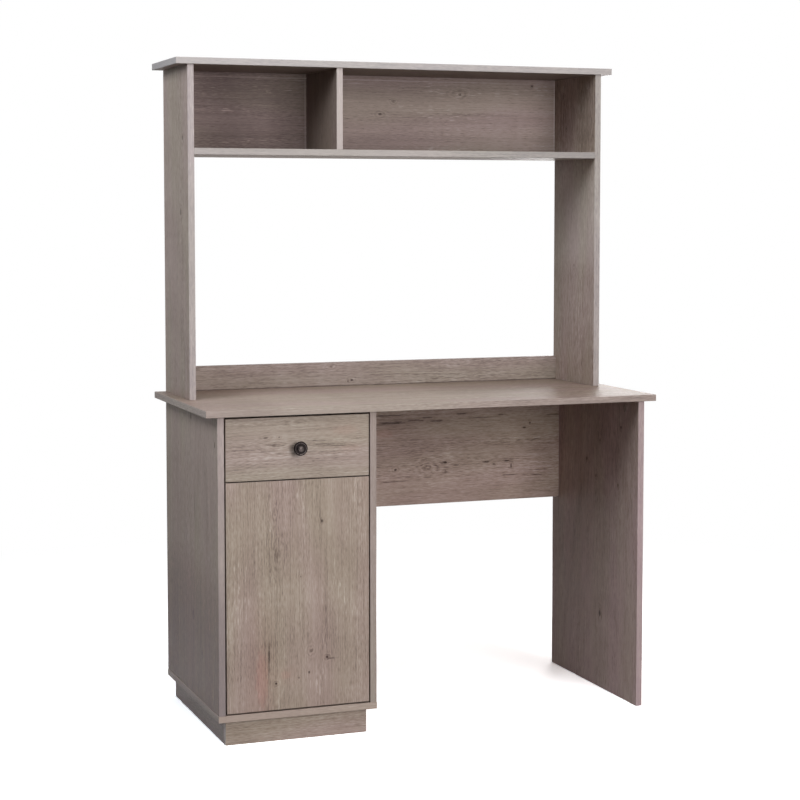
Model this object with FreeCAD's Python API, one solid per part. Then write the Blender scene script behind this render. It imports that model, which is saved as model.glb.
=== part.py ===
"""Student desk with hutch: a flat-pack desk in laminated board, with a drawer and a cupboard in its left
pedestal, and an open hutch that carries two cubbies over the desk top.

Millimetres. X runs to the right as seen from the chair, Y to the back, and Z up. The origin is on the
floor, under the middle of the whole desk's outer box.
"""

import FreeCAD, Part

import math
import os
from typing import NamedTuple

V = FreeCAD.Vector
RIGHT, LEFT = V(1, 0, 0), V(-1, 0, 0)
BACK, FRONT = V(0, 1, 0), V(0, -1, 0)
UP, DOWN = V(0, 0, 1), V(0, 0, -1)

# ---------------------------------------------------------------- driving dimensions
board = 15.0  # laminated particleboard
hardboard = 3.0  # nailed-on backs, and the drawer's bottom
arris = 0.6  # broken edge of every board

top_width = 1092.0
top_depth = 486.0
desk_height = 745.0
overall_height = 1524.0
side_overhang = 27.0  # desk top and hutch top, past the ends
front_overhang = 8.0  # desk top, past the ends' front edges

pedestal_width = 367.0  # over its two sides
plinth_height = 55.0
plinth_setback = 14.0  # from the pedestal's face
plinth_inset_left, plinth_inset_right = 19.0, 21.0  # from the ends of the pedestal's bottom
bottom_reveal = 1.0  # the pedestal's bottom shows past its sides

modesty_height = 288.0
modesty_setback = 39.5  # its front face, from the desk top's back edge

hutch_depth = 234.0
hutch_top_lip = 4.0
cubby_height = 189.0
left_cubby_width = 341.0
rail_height = 59.0

reveal = 3.0  # gap at each side of the drawer front and of the door
top_reveal = 4.4  # gap under the desk top
middle_reveal = 2.4  # gap between the drawer front and the door
foot_reveal = 3.6  # gap under the door
drawer_front_height = 138.0

knob_radius = 16.0
knob_reach = 25.0

# ---------------------------------------------------------------- planes worked out from them
whole_depth = top_depth - front_overhang + knob_reach
y_back = whole_depth / 2  # back edge of the desk top
y_rear = y_back - hardboard  # back edges of the ends and the uprights
y_top_front = y_back - top_depth
y_face = y_top_front + front_overhang  # front edges of the ends, face of the drawer and the door
y_inside = y_face + board  # back of the drawer front and of the door

x_out = top_width / 2 - side_overhang  # outer faces of both ends and both uprights
x_in = x_out - board
z_top = desk_height - board  # underside of the desk top
z_bottom = plinth_height + board  # upper face of the pedestal's bottom

ped_left = -x_in  # inner faces of the pedestal
ped_outer = pedestal_width - x_out
ped_right = ped_outer - board
ped_middle = (ped_left + ped_right) / 2

front_left = ped_left + reveal  # edges shared by the drawer front and the door
front_right = ped_right - reveal
drawer_front_top = z_top - top_reveal
drawer_front_bottom = drawer_front_top - drawer_front_height
door_top = drawer_front_bottom - middle_reveal
door_bottom = z_bottom + foot_reveal

y_hutch = y_rear - hutch_depth  # front edges of the uprights
z_hutch = overall_height - board  # underside of the hutch top
z_shelf = z_hutch - cubby_height  # upper face of the hutch shelf
divider_left = -x_in + left_cubby_width

y_modesty = y_back - modesty_setback


# ---------------------------------------------------------------- shapes that repeat
class ScrewSize(NamedTuple):
    """A countersunk screw: lengths and radii."""

    length: float
    shank: float
    head: float
    head_depth: float


def block(x0, x1, y0, y1, z0, z1):
    """A plain box between two corners."""
    return Part.makeBox(x1 - x0, y1 - y0, z1 - z0, V(x0, y0, z0))


def panel(x0, x1, y0, y1, z0, z1):
    """A board with its edges broken by a small chamfer."""
    box = block(x0, x1, y0, y1, z0, z1)
    return box.makeChamfer(arris, box.Edges)


def rod(radius, start, direction, length):
    """A cylinder from a point along a direction."""
    return Part.makeCylinder(radius, length, start, direction)


def prism(points, way):
    """A closed outline of corner points, extruded."""
    return Part.Face(Part.makePolygon([*points, points[0]])).extrude(way)


def screw(size, start, direction):
    """A countersunk screw whose head lies flush with start."""
    head = Part.makeCone(size.head, size.shank, size.head_depth, start, direction)
    return head.fuse(rod(size.shank, start, direction, size.length))


def spread(low, high, pitch):
    """Evenly spaced places from low to high, about a pitch apart."""
    steps = max(1, round((high - low) / pitch))
    return [low + (high - low) * i / steps for i in range(steps + 1)]


def rounded(shape, radius, longest):
    """A thin plate with its corners rounded: its short edges are those under a length."""
    return shape.makeFillet(radius, [e for e in shape.Edges if e.Length < longest])


def mirrored(shape):
    """The same piece on the other side of the pedestal."""
    return shape.mirror(V(ped_middle, 0, 0), RIGHT)


def with_mirror(solids):
    """The pieces of one side of the pedestal and their twins, as one node."""
    return group(solids + [mirrored(s) for s in solids])


def group(solids):
    """Several separate solids in one node."""
    return Part.makeCompound(solids)


# ---------------------------------------------------------------- desk boards
def desk_boards():
    """The boards that the desk stands up with, before any fitting is drilled for."""
    full_depth = (y_face, y_rear)
    modesty_bottom = z_top - modesty_height
    return {
        "desk_top": panel(-top_width / 2, top_width / 2, y_top_front, y_back, z_top, desk_height),
        "left_end": panel(-x_out, -x_in, *full_depth, z_bottom, z_top),
        "pedestal_side": panel(ped_right, ped_outer, *full_depth, z_bottom, z_top),
        "right_end": panel(x_in, x_out, *full_depth, 0, z_top),
        "pedestal_bottom": panel(
            -x_out - bottom_reveal, ped_outer + bottom_reveal, *full_depth, plinth_height, z_bottom
        ),
        "modesty_panel": panel(ped_outer, x_in, y_modesty, y_modesty + board, modesty_bottom, z_top),
    }


plinth_left_x = -x_out - bottom_reveal + plinth_inset_left
plinth_right_x = ped_outer + bottom_reveal - plinth_inset_right
plinth_front_y = y_face + plinth_setback


def plinth_boards():
    """Four boards on edge: the front one covers the sides' ends, and the back one fits between them."""
    front = (plinth_front_y, plinth_front_y + board, 0, plinth_height)
    sides = (plinth_front_y + board, y_rear, 0, plinth_height)
    back = (y_rear - board, y_rear, 0, plinth_height)
    return {
        "plinth_front": panel(plinth_left_x, plinth_right_x, *front),
        "plinth_left": panel(plinth_left_x, plinth_left_x + board, *sides),
        "plinth_right": panel(plinth_right_x - board, plinth_right_x, *sides),
        "plinth_back": panel(plinth_left_x + board, plinth_right_x - board, *back),
    }


# ---------------------------------------------------------------- hutch boards
def hutch_boards():
    """Two uprights, a top, a shelf, the cubbies' divider, and the low rail behind the desk top."""
    depth = (y_hutch, y_rear)
    upright = (*depth, desk_height, z_hutch)
    lid = (y_hutch - hutch_top_lip, y_rear, z_hutch, overall_height)
    rail = (y_rear - board, y_rear, desk_height, desk_height + rail_height)
    return {
        "hutch_left_upright": panel(-x_out, -x_in, *upright),
        "hutch_right_upright": panel(x_in, x_out, *upright),
        "hutch_top": panel(-top_width / 2, top_width / 2, *lid),
        "hutch_shelf": panel(-x_in, x_in, *depth, z_shelf - board, z_shelf),
        "hutch_divider": panel(divider_left, divider_left + board, *depth, z_shelf, z_hutch),
        "hutch_rail": panel(-x_in, x_in, *rail),
    }


# ---------------------------------------------------------------- thin backs and their nails
back_margin = 2.0  # the backs stop short of the outer faces
nail_head_radius, nail_head_depth = 2.6, 0.8
nail_shank_radius, nail_length = 0.9, 16.0
nail_pitch = 170.0  # about, along an edge
nail_corner = 40.0  # the first nail from a corner


def thin_backs():
    """Hardboard over the back edges of the pedestal and of the cubbies."""
    depth = (y_rear, y_back)
    right = {"pedestal_back": ped_outer, "hutch_back": x_out}
    low = {"pedestal_back": plinth_height, "hutch_back": z_shelf - board}
    high = {"pedestal_back": z_top, "hutch_back": overall_height - back_margin}
    return {
        name: block(
            -x_out + back_margin, right[name] - back_margin, *depth, low[name] + back_margin, high[name]
        )
        for name in right
    }


def nail(x, z):
    """A flat-headed nail, driven in flush."""
    head = rod(nail_head_radius, V(x, y_back, z), FRONT, nail_head_depth)
    return head.fuse(rod(nail_shank_radius, V(x, y_back, z), FRONT, nail_length))


def back_nails():
    """A row of nails into each board edge behind the thin backs."""
    mid = board / 2
    cubby_middle = (z_shelf + z_hutch) / 2
    places = [(x, z_bottom - mid) for x in spread(ped_left + nail_corner, ped_right - nail_corner, nail_pitch)]
    for x in (-x_out + mid, ped_outer - mid):
        places += [(x, z) for z in spread(z_bottom + nail_corner, z_top - nail_corner, nail_pitch)]
    for z in (z_shelf - mid, z_hutch + mid):
        places += [(x, z) for x in spread(-x_out + nail_corner, x_out - nail_corner, nail_pitch)]
    for x in (-x_out + mid, divider_left + mid, x_out - mid):
        places.append((x, cubby_middle))
    return group([nail(x, z) for x, z in places])


# ---------------------------------------------------------------- cam fittings
cam_radius, cam_depth = 7.5, 12.0
cam_setback = 24.0  # a cam's centre from the end of its board
cam_slot_width, cam_slot_length, cam_slot_depth = 1.4, 9.0, 2.0
bolt_radius, bolt_bite = 2.5, 11.0  # how far it goes into the neighbour's face
bolt_head_radius, bolt_head_length = 3.4, 5.0
cap_radius, cap_thickness = 9.0, 0.3
desk_inset, hutch_inset, modesty_inset = 70.0, 45.0, 50.0  # cams from the corners of their boards


class Cam(NamedTuple):
    """Where a cam sits: the middle of its face, the way into its board, and the way to its neighbour."""

    face: V
    into: V
    toward: V
    capped: bool


def desk_cams():
    """Cams in the tops of the two ends and of the pedestal's side, which hold the desk top down."""
    z = z_top - cam_setback
    found = []
    for y in (y_face + desk_inset, y_rear - desk_inset):
        found.append(Cam(V(ped_left, y, z), LEFT, UP, False))
        found.append(Cam(V(ped_right, y, z), RIGHT, UP, False))
        found.append(Cam(V(x_in, y, z), RIGHT, UP, True))
    return found


def hutch_cams():
    """Cams in the tops of the uprights, and under the ends of the hutch shelf."""
    found = []
    for y in (y_hutch + hutch_inset, y_rear - hutch_inset):
        for side, out in ((-x_in, LEFT), (x_in, RIGHT)):
            found.append(Cam(V(side, y, z_hutch - cam_setback), out, UP, True))
            found.append(Cam(V(side, y, z_shelf - board) - out * cam_setback, UP, out, True))
    return found


def cross_cams():
    """Cams in the hidden faces of the modesty panel and of the rail."""
    found = []
    modesty_bottom = z_top - modesty_height
    for z in (modesty_bottom + modesty_inset, z_top - modesty_inset):
        for side, out in ((ped_outer, LEFT), (x_in, RIGHT)):
            found.append(Cam(V(side, y_modesty + board, z) - out * cam_setback, FRONT, out, False))
    for side, out in ((-x_in, LEFT), (x_in, RIGHT)):
        middle = V(side, y_rear, desk_height + rail_height / 2)
        found.append(Cam(middle - out * cam_setback, FRONT, out, False))
    return found


cams = desk_cams() + hutch_cams() + cross_cams()


def cam_bore(cam):
    """The round pocket that a cam drops into."""
    return rod(cam_radius, cam.face, cam.into, cam_depth)


def cam_bolt(cam):
    """The headed bolt from the middle of a cam into the face of the neighbouring board."""
    centre = cam.face + cam.into * (board / 2)
    shank = rod(bolt_radius, centre, cam.toward, cam_setback + bolt_bite)
    head_start = centre - cam.toward * (bolt_head_length / 2)
    return shank.fuse(rod(bolt_head_radius, head_start, cam.toward, bolt_head_length))


def cam_lock(cam):
    """A zinc cam with a cross slot, open on the side where it grips its bolt's head."""
    lock = cam_bore(cam)
    across = cam.toward.cross(cam.into)
    for long, short in ((cam.toward, across), (across, cam.toward)):
        half_long = long * (cam_slot_length / 2)
        half_short = short * (cam_slot_width / 2)
        corners = [
            cam.face - half_long - half_short,
            cam.face + half_long - half_short,
            cam.face + half_long + half_short,
            cam.face - half_long + half_short,
        ]
        lock = lock.cut(prism(corners, cam.into * cam_slot_depth))
    return lock.cut(cam_bolt(cam))


def cam_fittings():
    """Cams, their bolts, and the printed caps that cover the cams on open faces."""
    capped = [cam for cam in cams if cam.capped]
    return {
        "cam_locks": group([cam_lock(cam) for cam in cams]),
        "cam_bolts": group([cam_bolt(cam) for cam in cams]),
        "cam_caps": group([rod(cap_radius, cam.face, -cam.into, cap_thickness) for cam in capped]),
    }


# ---------------------------------------------------------------- dowels and long screws
dowel_radius, dowel_length, dowel_bite = 4.0, 30.0, 11.0  # the bite is into the face of a top
upright_foot_inset = 25.0
panel_screw = ScrewSize(length=48.0, shank=2.4, head=4.6, head_depth=3.2)
rail_screw_inset, rail_screw_pitch = 90.0, 270.0


def dowels():
    """Beech dowels that locate the tops, the divider and the foot of each upright."""
    mid = board / 2
    hutch_middle = (y_hutch + y_rear) / 2
    under_tops = [V(x, (y_face + y_rear) / 2, z_top) for x in (-x_out + mid, ped_outer - mid, x_out - mid)]
    under_tops += [V(x, hutch_middle, z_hutch) for x in (-x_out + mid, x_out - mid)]
    for y in (y_hutch + hutch_inset, y_rear - hutch_inset):
        under_tops.append(V(divider_left + mid, y, z_hutch))
    solids = [rod(dowel_radius, place + UP * dowel_bite, DOWN, dowel_length) for place in under_tops]
    for x in (-x_out + mid, x_out - mid):
        for y in (y_hutch + upright_foot_inset, y_rear - upright_foot_inset):
            foot = V(x, y, desk_height)
            solids.append(rod(dowel_radius, foot + DOWN * dowel_bite, UP, dowel_length))
    return group(solids)


def panel_screws():
    """Long screws, all driven upwards: into the pedestal's sides, the hutch's rail and its divider."""
    mid = board / 2
    places = []
    for x in (-x_out + mid, ped_outer - mid):
        for y in (y_face + desk_inset, y_rear - desk_inset):
            places.append(V(x, y, plinth_height))
    for x in spread(-x_in + rail_screw_inset, x_in - rail_screw_inset, rail_screw_pitch):
        places.append(V(x, y_rear - mid, z_top))
    for y in (y_hutch + hutch_inset, y_rear - hutch_inset):
        places.append(V(divider_left + mid, y, z_shelf - board))
    return group([screw(panel_screw, place, UP) for place in places])


# ---------------------------------------------------------------- plinth blocks
corner_block, corner_block_height = 28.0, 38.0
block_screw = ScrewSize(length=48.0, shank=2.0, head=4.0, head_depth=2.5)


def plinth_blocks():
    """A wood block in each corner of the plinth, and the screw that holds it to the pedestal's bottom."""
    z = plinth_height - corner_block_height
    blocks, screws = [], []
    for x in (plinth_left_x + board, plinth_right_x - board - corner_block):
        for y in (plinth_front_y + board, y_rear - board - corner_block):
            made = screw(block_screw, V(x + corner_block / 2, y + corner_block / 2, z), UP)
            wood = block(x, x + corner_block, y, y + corner_block, z, plinth_height)
            blocks.append(wood.cut(made))
            screws.append(made)
    return {"plinth_blocks": group(blocks), "plinth_block_screws": group(screws)}


# ---------------------------------------------------------------- cupboard shelf
shelf_setback = 75.0  # behind the pedestal's face, clear of the hinges
shelf_play = 1.0  # each side
shelf_under_z = 330.0
pin_radius, pin_depth, pin_reach = 2.5, 8.0, 8.0
pin_collar_radius, pin_collar_thickness = 4.0, 1.0
pin_blade_width, pin_blade_drop = 7.0, 1.5  # the flat that the shelf lies on, and its thickness below it
pin_pitch, holes_each_way = 32.0, 2
pin_z = shelf_under_z - pin_radius
pin_ys = (y_face + 110.0, y_rear - 50.0)


def cupboard_shelf():
    """The loose shelf behind the door."""
    sides = (ped_left + shelf_play, ped_right - shelf_play)
    return panel(
        *sides, y_face + shelf_setback, y_rear - shelf_play, shelf_under_z, shelf_under_z + board
    )


def shelf_pin(y):
    """A spoon pin in the right side: a shank in the hole, a collar, and a flat blade under the shelf."""
    shank = rod(pin_radius, V(ped_right + pin_depth, y, pin_z), LEFT, pin_depth + pin_reach)
    collar = rod(pin_collar_radius, V(ped_right, y, pin_z), LEFT, pin_collar_thickness)
    blade = block(
        ped_right - pin_reach,
        ped_right,
        y - pin_blade_width / 2,
        y + pin_blade_width / 2,
        shelf_under_z - pin_blade_drop,
        shelf_under_z,
    )
    over_blade = block(
        ped_right - pin_reach,
        ped_right,
        y - pin_collar_radius,
        y + pin_collar_radius,
        shelf_under_z,
        shelf_under_z + pin_collar_radius,
    )
    return shank.fuse([collar, blade]).cut(over_blade)


def shelf_pins():
    """Two pins a side."""
    return with_mirror([shelf_pin(y) for y in pin_ys])


def shelf_pin_holes():
    """The two columns of holes in each side of the pedestal, the used ones among them."""
    steps = range(-holes_each_way, holes_each_way + 1)
    holes = [
        rod(pin_radius, V(ped_right, y, pin_z + step * pin_pitch), RIGHT, pin_depth)
        for y in pin_ys
        for step in steps
    ]
    return {"pedestal_side": holes, "left_end": [mirrored(hole) for hole in holes]}


# ---------------------------------------------------------------- drawer box
runner_room = 12.5  # each side of the box
drawer_board = 12.0
box_height, box_length = 95.0, 400.0
box_rise = 16.4  # the box's lower edge over the drawer front's
bottom_rise, groove_depth = 8.0, 5.0  # the bottom's height in the sides, and how far it goes into them
box_left, box_right = ped_left + runner_room, ped_right - runner_room
box_front, box_back = y_inside, y_inside + box_length
box_low = drawer_front_bottom + box_rise
box_high = box_low + box_height

drawer_screw = ScrewSize(length=36.0, shank=1.8, head=3.6, head_depth=2.4)
drawer_cam_radius, drawer_cam_depth, drawer_bolt_bite = 6.0, 9.5, 10.0
drawer_fitting_low, drawer_fitting_high = box_low + 25.0, box_high - 18.0


def drawer_boards():
    """Front, two sides, a back between them, and a thin bottom let into all four."""
    heights = (box_low, box_high)
    inner_left, inner_right = box_left + drawer_board, box_right - drawer_board
    inner_back = box_back - drawer_board
    bottom_z = box_low + bottom_rise
    bottom = block(
        inner_left - groove_depth,
        inner_right + groove_depth,
        box_front - groove_depth,
        inner_back + groove_depth,
        bottom_z,
        bottom_z + hardboard,
    )
    boards = {
        "drawer_front": panel(
            front_left, front_right, y_face, box_front, drawer_front_bottom, drawer_front_top
        ),
        "drawer_left_side": panel(box_left, inner_left, box_front, box_back, *heights),
        "drawer_right_side": panel(inner_right, box_right, box_front, box_back, *heights),
        "drawer_back": panel(inner_left, inner_right, inner_back, box_back, *heights),
    }
    grooved = {name: made.cut(bottom) for name, made in boards.items()}
    return {**grooved, "drawer_bottom": bottom}


def drawer_fittings():
    """Screws through the sides into the back, and a cam in each side on a bolt in the front."""
    screws, locks, bolts = [], [], []
    for z in (drawer_fitting_low, drawer_fitting_high):
        screws.append(screw(drawer_screw, V(box_right, box_back - drawer_board / 2, z), LEFT))
        face = V(box_right - drawer_board, box_front + cam_setback, z)
        bolt = rod(bolt_radius, face + RIGHT * (drawer_board / 2), FRONT, cam_setback + drawer_bolt_bite)
        locks.append(rod(drawer_cam_radius, face, RIGHT, drawer_cam_depth).cut(bolt))
        bolts.append(bolt)
    return {
        "drawer_screws": with_mirror(screws),
        "drawer_cams": with_mirror(locks),
        "drawer_bolts": with_mirror(bolts),
    }


# ---------------------------------------------------------------- knob
knob_z = (drawer_front_top + drawer_front_bottom) / 2
knob_foot_radius, knob_foot_height = 8.0, 1.6
knob_neck_radius, knob_neck_height = 5.5, 6.0
button_radius, button_rise = 8.2, 3.2
machine_screw_radius, machine_screw_bite = 2.0, 11.0
machine_head_radius, machine_head_height = 4.0, 2.4
washer_radius, washer_thickness = 5.5, 0.8


def drawer_knob():
    """A turned knob: a foot, a waisted neck, a rolled rim, a sunk ring and a domed button in the middle."""

    def at(reach, radius):
        return V(ped_middle + radius, y_face - reach, knob_z)

    def arc(start, middle, end):
        return Part.Arc(at(*start), at(*middle), at(*end)).toShape()

    foot_top, neck = (knob_foot_height, knob_foot_radius), (knob_neck_height, knob_neck_radius)
    rim_back, rim_side, rim_front = (15.5, 13.5), (18.5, knob_radius), (21.5, 13.2)
    ring_outside, ring_inside = (19.6, 11.2), (19.6, 8.8)
    button_edge = (knob_reach - button_rise, button_radius)
    sphere = (button_radius**2 + button_rise**2) / (2 * button_rise)
    half_way = math.asin(button_radius / sphere) / 2
    button_middle = (knob_reach - sphere * (1 - math.cos(half_way)), sphere * math.sin(half_way))
    profile = [
        Part.makeLine(at(0, 0), at(0, knob_foot_radius)),
        Part.makeLine(at(0, knob_foot_radius), at(*foot_top)),
        arc(foot_top, (3.0, 6.4), neck),
        arc(neck, (10.5, 7.4), rim_back),
        arc(rim_back, rim_side, rim_front),
        arc(rim_front, (21.0, 12.0), ring_outside),
        Part.makeLine(at(*ring_outside), at(*ring_inside)),
        Part.makeLine(at(*ring_inside), at(*button_edge)),
        arc(button_edge, button_middle, (knob_reach, 0)),
        Part.makeLine(at(knob_reach, 0), at(0, 0)),
    ]
    return Part.Face(Part.Wire(profile)).revolve(at(0, 0), FRONT, 360)


def knob_screw():
    """The machine screw from inside the drawer, on a washer."""
    seat = V(ped_middle, box_front, knob_z)
    washer = rod(washer_radius, seat, BACK, washer_thickness)
    head = rod(machine_head_radius, seat, BACK, machine_head_height)
    return washer.fuse([head, rod(machine_screw_radius, seat, FRONT, board + machine_screw_bite)])


# ---------------------------------------------------------------- drawer runners
gauge = 1.0  # sheet steel
channel_height, channel_foot, channel_lip = 26.0, 11.0, 9.0
channel_drop = 9.0  # its underside below the drawer box
roller_radius, roller_width, roller_gap = 10.7, 7.0, 0.3
roller_dish_depth, roller_rim, roller_hub = 1.2, 2.5, 2.2
axle_radius, roller_bore = 2.5, 2.6
axle_head_radius, axle_head_length = 4.0, 0.8
mouth_length = 27.0  # of the channel that has no lip, where the drawer's rail drops in
track_edge_gap = 2.5  # the drawer's track from the pedestal's side
track_cutback = 14.0  # the track stops this far short of the rear axle
rail_screw = ScrewSize(length=13.0, shank=1.8, head=3.2, head_depth=2.0)
slider_screw = ScrewSize(length=11.0, shank=1.6, head=2.8, head_depth=1.6)
runner_screw_pitch = 150.0

runner_front = box_front + 2.0
front_axle_y = runner_front + 13.0
rear_axle_y = box_back - 12.0
channel_z = box_low - channel_drop
axle_z = channel_z + gauge + roller_gap + roller_radius
track_z = axle_z + roller_radius + roller_gap  # underside of the track
front_roller_x = ped_right - gauge - 1.2 - roller_width
rear_roller_x = box_right + gauge + 1.0


def pedestal_runner():
    """The rail on the pedestal's right side: a C channel, and the axle of its front roller."""
    web, foot, lip = ped_right - gauge, ped_right - channel_foot, ped_right - channel_lip
    low, high = channel_z, channel_z + channel_height
    outline = [
        V(ped_right, runner_front, low),
        V(ped_right, runner_front, high),
        V(lip, runner_front, high),
        V(lip, runner_front, high - gauge),
        V(web, runner_front, high - gauge),
        V(web, runner_front, low + gauge),
        V(foot, runner_front, low + gauge),
        V(foot, runner_front, low),
    ]
    mouth = block(foot, web, runner_front, runner_front + mouth_length, high - gauge, high)
    head_x = front_roller_x - gauge
    axle = rod(axle_radius, V(web, front_axle_y, axle_z), LEFT, web - head_x + axle_head_length)
    head = rod(axle_head_radius, V(head_x, front_axle_y, axle_z), LEFT, axle_head_length)
    return prism(outline, BACK * box_length).cut(mouth).fuse([axle, head])


def drawer_runner():
    """The rail on the drawer's right side: it wraps the lower edge, and carries a track and the rear axle."""
    web = box_right + gauge
    track_top = track_z + gauge
    wrap = block(box_right - drawer_board, web, runner_front, box_back, box_low - gauge, box_low)
    side = block(box_right, web, runner_front, box_back, box_low, track_top)
    track = block(
        web, ped_right - track_edge_gap, runner_front, rear_axle_y - track_cutback, track_z, track_top
    )
    head_x = rear_roller_x + roller_width + 0.6
    axle = rod(axle_radius, V(web, rear_axle_y, axle_z), RIGHT, head_x - web + axle_head_length)
    head = rod(axle_head_radius, V(head_x, rear_axle_y, axle_z), RIGHT, axle_head_length)
    return wrap.fuse([side, track, axle, head])


def roller(x, y):
    """A nylon wheel with a shallow dish in each face."""
    centre = V(x, y, axle_z)
    wheel = rod(roller_radius, centre, RIGHT, roller_width)
    for start, inward in ((centre, RIGHT), (centre + RIGHT * roller_width, LEFT)):
        dish = rod(roller_radius - roller_rim, start, inward, roller_dish_depth)
        hub = rod(axle_radius + roller_hub, start, inward, roller_dish_depth)
        wheel = wheel.cut(dish.cut(hub))
    return wheel.cut(rod(roller_bore, centre, RIGHT, roller_width))


def runners():
    """Both sides' rails and rollers, and the screws that hold the rails."""
    rail_holes = spread(front_axle_y + 47.0, runner_front + box_length - 25.0, runner_screw_pitch)
    slider_holes = spread(runner_front + 25.0, rear_axle_y - 60.0, runner_screw_pitch)
    slider_screw_z = (box_low + track_z) / 2
    rail_screws = [screw(rail_screw, V(ped_right - gauge, y, axle_z), RIGHT) for y in rail_holes]
    slider_screws = [screw(slider_screw, V(box_right + gauge, y, slider_screw_z), LEFT) for y in slider_holes]
    right = {
        "pedestal_runner": pedestal_runner().cut(rail_screws),
        "drawer_runner": drawer_runner().cut(slider_screws),
        "front_roller": roller(front_roller_x, front_axle_y),
        "rear_roller": roller(rear_roller_x, rear_axle_y),
    }
    made = {}
    for name, shape in right.items():
        made[name + "_right"] = shape
        made[name + "_left"] = mirrored(shape)
    return {
        **made,
        "pedestal_runner_screws": with_mirror(rail_screws),
        "drawer_runner_screws": with_mirror(slider_screws),
    }


# ---------------------------------------------------------------- concealed hinges
hinge_inset = 95.0  # from the door's top and bottom edges
pivot_setback, pivot_depth = 18.0, 10.0  # from the door's edge, and behind its face
pivot_x, pivot_y = front_left + pivot_setback, y_face + pivot_depth
cup_x = front_left + 22.5
cup_radius, cup_depth, cup_wall = 17.5, 11.5, 0.8
cup_mouth = 21.0  # height of the slot that the arm works in
wing_height, wing_width, wing_thickness, wing_corner = 62.0, 26.0, 1.0, 8.0
cup_screw = ScrewSize(length=11.0, shank=1.7, head=3.4, head_depth=1.6)
cup_screw_offset = 24.0
arm_width, arm_thickness = 13.0, 2.4
arm_rise = 1.6  # of the arm's middle over its plate
pivot_pin_radius, pivot_play, eye_radius = 1.6, 0.1, 3.2
plate_y = pivot_y + 42.0
plate_height, plate_thickness, plate_corner = 46.0, 1.6, 6.0
wing_run, spine_run, spine_thickness = 20.4, 36.0, 2.4  # depths of the plate's wings and of its spine
plate_screw = ScrewSize(length=12.0, shank=2.0, head=4.0, head_depth=1.4)
plate_screw_offset = 16.0
hinge_zs = (door_bottom + hinge_inset, door_top - hinge_inset)


def hinge_arm(z):
    """The cranked arm: from its plate it passes outside the path of the door's edge and drops to the pin."""
    pivot = V(pivot_x, pivot_y, z - arm_width / 2)
    along_side = ped_left + spine_thickness + arm_rise
    line = [
        pivot,
        pivot + V(15.0, 15.0),
        pivot + V(15.0, 25.0),
        pivot + V(10.0, 29.0),
        pivot + V(-8.0, 29.0),
        V(along_side, pivot_y + 37.0, pivot.z),
        V(along_side, plate_y + spine_run + 2.0, pivot.z),
    ]
    strip = Part.makePolygon(line).makeOffset2D(arm_thickness / 2, fill=True)
    eye = rod(eye_radius, pivot, UP, arm_width)
    bore = rod(pivot_pin_radius + pivot_play, pivot, UP, arm_width)
    return strip.extrude(UP * arm_width).fuse(eye).cut(bore).removeSplitter()


def hinge_plate(z):
    """The wing plate on the pedestal's left side, raised in the middle to carry the arm."""
    wings = block(
        ped_left,
        ped_left + plate_thickness,
        plate_y,
        plate_y + wing_run,
        z - plate_height / 2,
        z + plate_height / 2,
    )
    spine = block(
        ped_left,
        ped_left + spine_thickness,
        plate_y,
        plate_y + spine_run,
        z - arm_width / 2,
        z + arm_width / 2,
    )
    return rounded(wings, plate_corner, 2 * plate_thickness).fuse(spine)


def cup_bore(z):
    """The round pocket in the back of the door."""
    return rod(cup_radius, V(cup_x, y_inside, z), FRONT, cup_depth)


def hinge_cup(z):
    """A cup let into the back of the door, with a slot for the arm and a wing that two screws hold."""
    wing = block(
        cup_x - wing_width / 2,
        cup_x + wing_width / 2,
        y_inside,
        y_inside + wing_thickness,
        z - wing_height / 2,
        z + wing_height / 2,
    )
    floor = y_inside - cup_depth + cup_wall
    opening = rod(cup_radius - cup_wall, V(cup_x, floor, z), BACK, cup_depth + wing_thickness)
    slot = block(
        cup_x - cup_radius,
        cup_x + cup_radius,
        floor,
        y_inside + wing_thickness,
        z - cup_mouth / 2,
        z + cup_mouth / 2,
    )
    return cup_bore(z).fuse(rounded(wing, wing_corner, 2 * wing_thickness)).cut(opening.common(slot))


def hinge_pin(z):
    """The pin across the cup that the arm's eye turns on."""
    return rod(pivot_pin_radius, V(pivot_x, pivot_y, z - cup_mouth / 2), UP, cup_mouth)


def hinges():
    """Both hinges, by kind of piece."""
    plate_screws, cup_screws = [], []
    for z in hinge_zs:
        for way in (UP, DOWN):
            plate_spot = V(ped_left + plate_thickness, plate_y + wing_run / 2, z) + way * plate_screw_offset
            cup_spot = V(cup_x, y_inside + wing_thickness, z) + way * cup_screw_offset
            plate_screws.append(screw(plate_screw, plate_spot, LEFT))
            cup_screws.append(screw(cup_screw, cup_spot, FRONT))
    return {
        "hinge_arms": group([hinge_arm(z) for z in hinge_zs]),
        "hinge_plates": group([hinge_plate(z).cut(plate_screws) for z in hinge_zs]),
        "hinge_cups": group([hinge_cup(z).cut(cup_screws) for z in hinge_zs]),
        "hinge_pins": group([hinge_pin(z) for z in hinge_zs]),
        "hinge_plate_screws": group(plate_screws),
        "hinge_cup_screws": group(cup_screws),
    }


# ---------------------------------------------------------------- push latch
latch_z = door_top - 26.0
latch_width, latch_height, latch_length, latch_arris = 14.0, 13.0, 52.0, 1.2
latch_front = y_inside + 9.0
latch_x = ped_right - latch_width / 2
plunger_radius, plunger_play, plunger_length = 3.2, 0.1, 29.0
plunger_bore_length = 44.0
tip_radius, tip_length, tip_gap = 5.0, 3.0, 0.3
ear_thickness, ear_drop, ear_corner = 2.5, 9.0, 3.5
ear_from, ear_to = latch_front + 20.0, latch_front + 36.0
latch_screw = ScrewSize(length=12.0, shank=1.6, head=3.0, head_depth=1.8)
latch_screw_offset = 11.5
strike_radius, strike_thickness = 7.0, 1.0
strike_screw_size = ScrewSize(length=11.0, shank=1.5, head=2.8, head_depth=0.9)


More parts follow.
